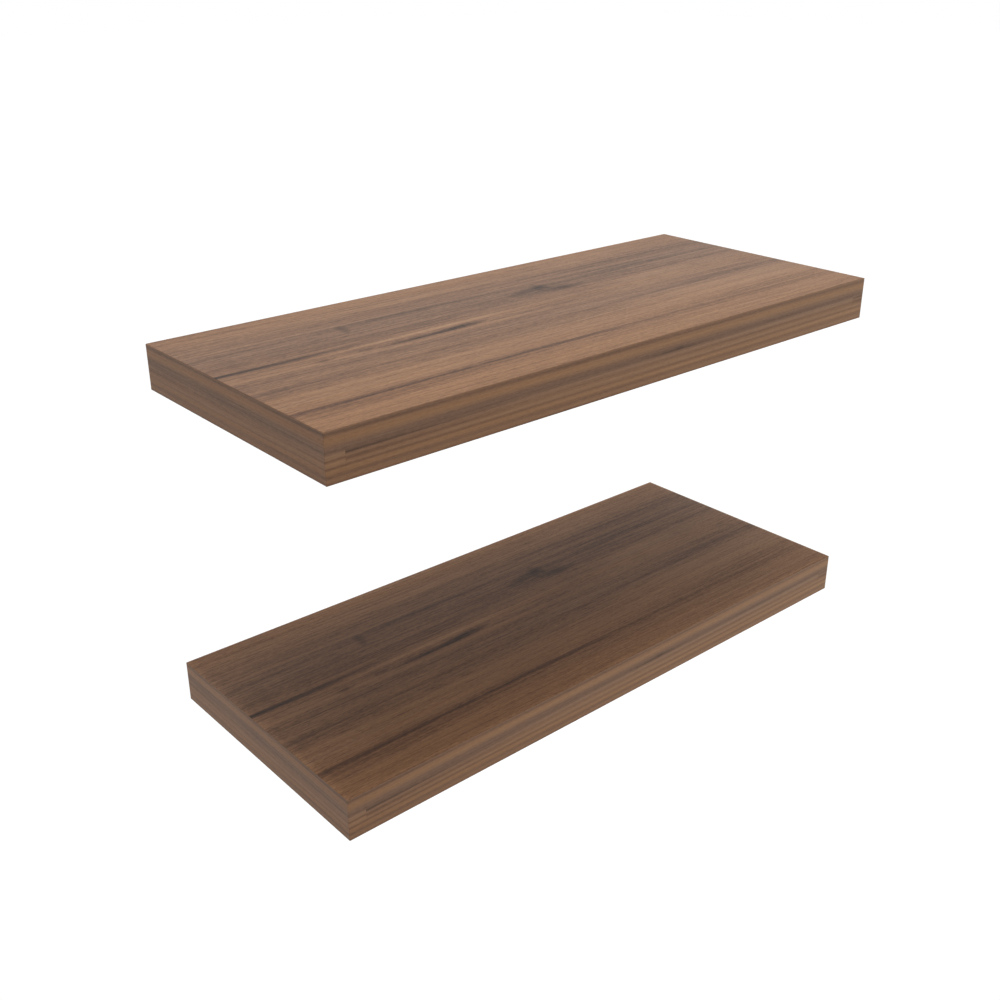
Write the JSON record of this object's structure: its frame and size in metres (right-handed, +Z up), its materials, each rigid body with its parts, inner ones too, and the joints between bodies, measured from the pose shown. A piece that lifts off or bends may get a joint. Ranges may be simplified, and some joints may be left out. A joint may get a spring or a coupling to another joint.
{
  "type": "floating wall shelf",
  "caption": "Hollow-core floating wall shelves in walnut decor, one above the other, each sliding onto the rods of a concealed steel wall bracket.",
  "frame": {"origin": "middle of the lower bracket bar's back face, on the wall, at half the lower board's thickness", "axes": "+X along the boards to the right as seen from the room, +Y into the wall, +Z up"},
  "size_m": [0.6, 0.2768, 0.33],
  "materials": {
    "walnut_decor": "satin",
    "particle_board": "matte",
    "kraft_paper": "matte",
    "black_steel": "satin",
    "zinc_steel": "satin",
    "grey_nylon": "matte"
  },
  "bodies": {
    "wall_brackets": {"lower_bracket_bar": "black_steel", "lower_left_rod": "black_steel", "lower_right_rod": "black_steel", "lower_wall_screw_1": "zinc_steel", "lower_wall_screw_2": "zinc_steel", "lower_wall_screw_3": "zinc_steel", "lower_wall_screw_4": "zinc_steel", "lower_wall_plug_1": "grey_nylon", "lower_wall_plug_2": "grey_nylon", "lower_wall_plug_3": "grey_nylon", "lower_wall_plug_4": "grey_nylon", "upper_bracket_bar": "black_steel", "upper_left_rod": "black_steel", "upper_right_rod": "black_steel", "upper_wall_screw_1": "zinc_steel", "upper_wall_screw_2": "zinc_steel", "upper_wall_screw_3": "zinc_steel", "upper_wall_screw_4": "zinc_steel", "upper_wall_plug_1": "grey_nylon", "upper_wall_plug_2": "grey_nylon", "upper_wall_plug_3": "grey_nylon", "upper_wall_plug_4": "grey_nylon"},
    "lower_board": {"lower_top_skin": "walnut_decor", "lower_bottom_skin": "walnut_decor", "lower_front_rail": "walnut_decor", "lower_left_end_rail": "walnut_decor", "lower_right_end_rail": "walnut_decor", "lower_back_rail": "particle_board", "lower_left_rod_rail": "particle_board", "lower_right_rod_rail": "particle_board", "lower_left_core": "kraft_paper", "lower_middle_core": "kraft_paper", "lower_right_core": "kraft_paper", "lower_left_lock_screw": "zinc_steel", "lower_right_lock_screw": "zinc_steel"},
    "upper_board": {"upper_top_skin": "walnut_decor", "upper_bottom_skin": "walnut_decor", "upper_front_rail": "walnut_decor", "upper_left_end_rail": "walnut_decor", "upper_right_end_rail": "walnut_decor", "upper_back_rail": "particle_board", "upper_left_rod_rail": "particle_board", "upper_right_rod_rail": "particle_board", "upper_left_core": "kraft_paper", "upper_middle_core": "kraft_paper", "upper_right_core": "kraft_paper", "upper_left_lock_screw": "zinc_steel", "upper_right_lock_screw": "zinc_steel"}
  },
  "joints": [
    {"name": "lower_board_slide", "type": "slide", "parent": "wall_brackets", "child": "lower_board", "axis": [0, -1, 0], "range_m": [0, 0.15]},
    {"name": "upper_board_slide", "type": "slide", "parent": "wall_brackets", "child": "upper_board", "axis": [0, -1, 0], "range_m": [0, 0.15]}
  ]
}
